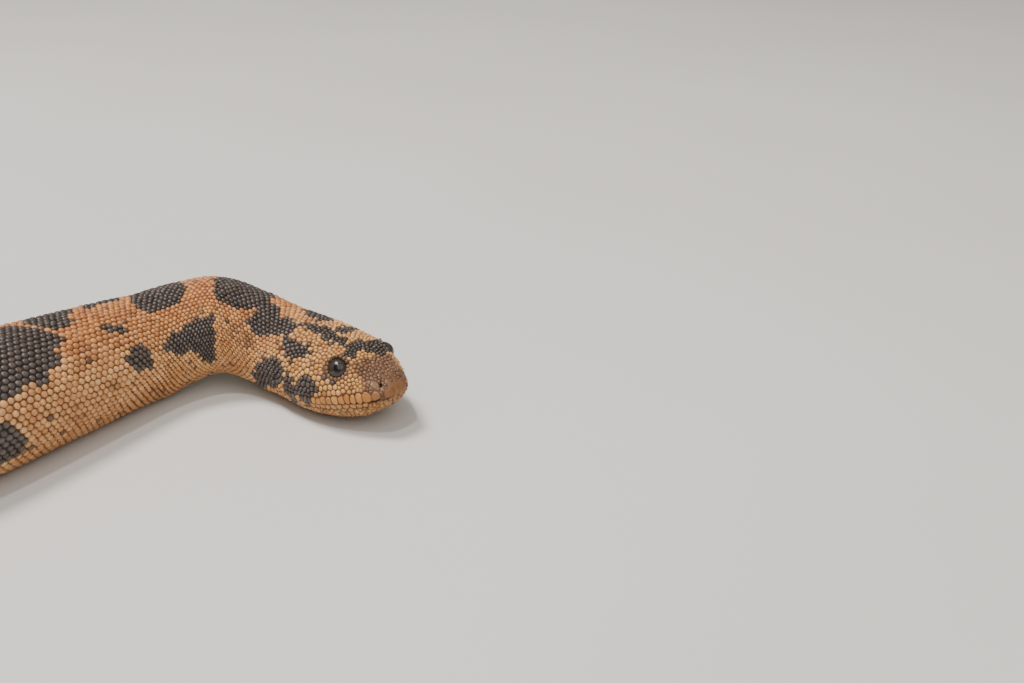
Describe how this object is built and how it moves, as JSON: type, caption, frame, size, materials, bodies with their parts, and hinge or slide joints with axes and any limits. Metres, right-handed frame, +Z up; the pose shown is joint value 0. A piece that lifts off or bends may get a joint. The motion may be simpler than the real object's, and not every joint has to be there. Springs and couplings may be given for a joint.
{
  "type": "kenyan sand boa",
  "caption": "Stout adult sand boa at rest, chin just off the floor, neck arched and turned, body in loose S-bends, short blunt tail.",
  "frame": {"origin": "middle of the animal's bounding box, on the floor it rests on", "axes": "+Z up from the floor; X along the length of the resting animal, +X at the head's end; the animal's right flank mostly faces -Y at the head"},
  "size_m": [0.419, 0.1828, 0.0316],
  "materials": {
    "skin": "small dry scales with a faint sheen, orange tan with near-black blotches",
    "eye": "wet gloss"
  },
  "bodies": {
    "root": {"head": "skin", "lower_jaw": "skin", "eye_right": "eye", "eye_left": "eye", "neck": "skin", "body_front": "skin", "body_middle": "skin", "body_rear": "skin", "body_hind": "skin", "tail": "skin"}
  },
  "joints": []
}
